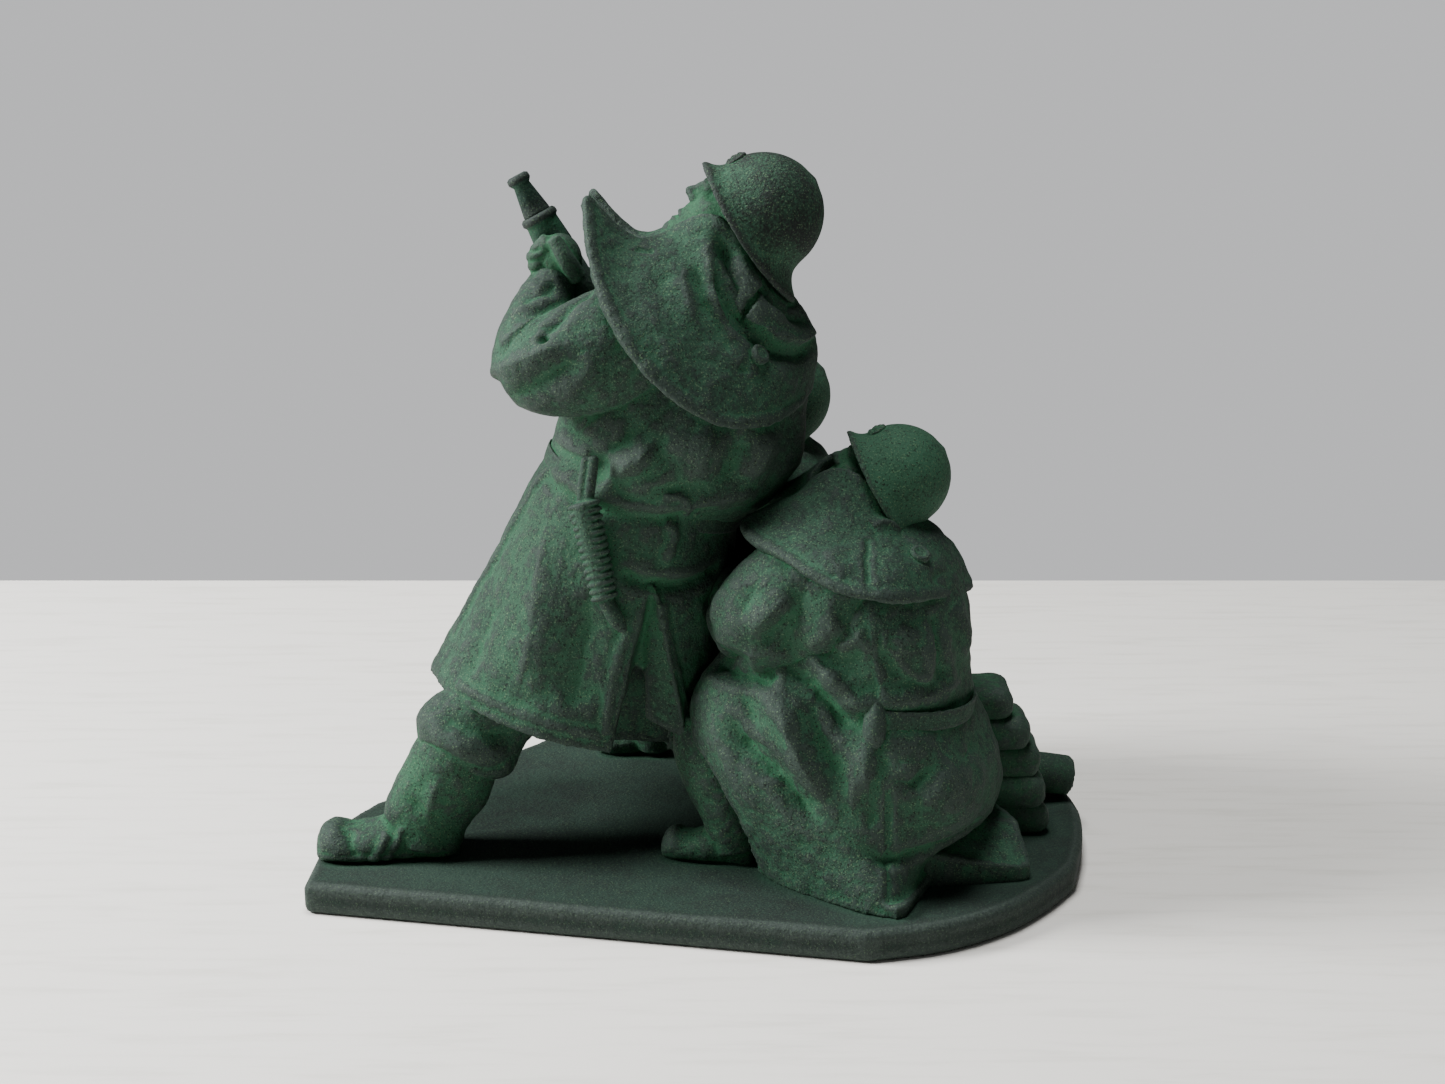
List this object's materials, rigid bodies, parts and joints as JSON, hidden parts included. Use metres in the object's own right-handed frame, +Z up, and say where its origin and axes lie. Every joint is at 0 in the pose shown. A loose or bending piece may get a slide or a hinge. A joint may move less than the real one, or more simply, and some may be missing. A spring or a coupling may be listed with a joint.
{
  "type": "three-firefighter statuette",
  "caption": "Matt green statuette of firefighters aiming a hose upwards, one standing between two kneeling, on a flat base plate with rounded right end.",
  "frame": {"origin": "centre of the base plate's underside, which is the centre of the bounding box's bottom face", "axes": "+X along the base plate's long side towards the hose pile, +Y from the straight front edge to the back, +Z up"},
  "size_m": [0.228, 0.1564, 0.2097],
  "materials": {
    "base_paint": "matt dark blue-green paint, faintly uneven, grey along the edge",
    "coat_paint": "matt mid-green paint, dusted with dark grey, brighter in the folds",
    "cape_paint": "matt green paint, heavily dusted with dark grey speckle",
    "helmet_paint": "matt green paint, dusted with dark grey speckle on the crown",
    "figure_paint": "matt mid-green paint",
    "boot_paint": "matt mid-green paint with grey on the raised straps",
    "belt_paint": "matt green paint with grey on the raised ribs",
    "nozzle_paint": "matt dark green paint, nearly black at the mouth",
    "hose_paint": "matt mid-green paint"
  },
  "bodies": {
    "root": {"base_plate": "base_paint", "hose_fold_1": "hose_paint", "hose_fold_2": "hose_paint", "hose_fold_3": "hose_paint", "hose_fold_4": "hose_paint", "hose_fold_5": "hose_paint", "hose_line": "hose_paint", "hose_tail": "hose_paint", "kneeling_belt": "belt_paint", "kneeling_cape": "cape_paint", "kneeling_cape_button": "cape_paint", "kneeling_coat": "coat_paint", "kneeling_coat_flap": "coat_paint", "kneeling_head": "figure_paint", "kneeling_helmet": "helmet_paint", "kneeling_helmet_badge": "helmet_paint", "kneeling_left_arm": "coat_paint", "kneeling_left_boot": "boot_paint", "kneeling_right_arm": "coat_paint", "kneeling_right_hand": "figure_paint", "nozzle_barrel": "nozzle_paint", "nozzle_tip": "nozzle_paint", "rear_belt": "belt_paint", "rear_cape": "cape_paint", "rear_cape_button": "cape_paint", "rear_coat": "coat_paint", "rear_head": "figure_paint", "rear_helmet": "helmet_paint", "rear_helmet_badge": "helmet_paint", "rear_left_arm": "coat_paint", "rear_left_hand": "figure_paint", "rear_right_arm": "coat_paint", "rear_right_boot": "boot_paint", "standing_belt": "belt_paint", "standing_cape": "cape_paint", "standing_cape_button": "cape_paint", "standing_coat": "coat_paint", "standing_head": "figure_paint", "standing_helmet": "helmet_paint", "standing_helmet_badge": "helmet_paint", "standing_left_arm": "coat_paint", "standing_left_boot": "boot_paint", "standing_left_hand": "figure_paint", "standing_right_arm": "coat_paint", "standing_right_boot": "boot_paint", "standing_right_hand": "figure_paint", "standing_rope_hank": "belt_paint", "standing_trousers": "coat_paint"}
  },
  "joints": []
}
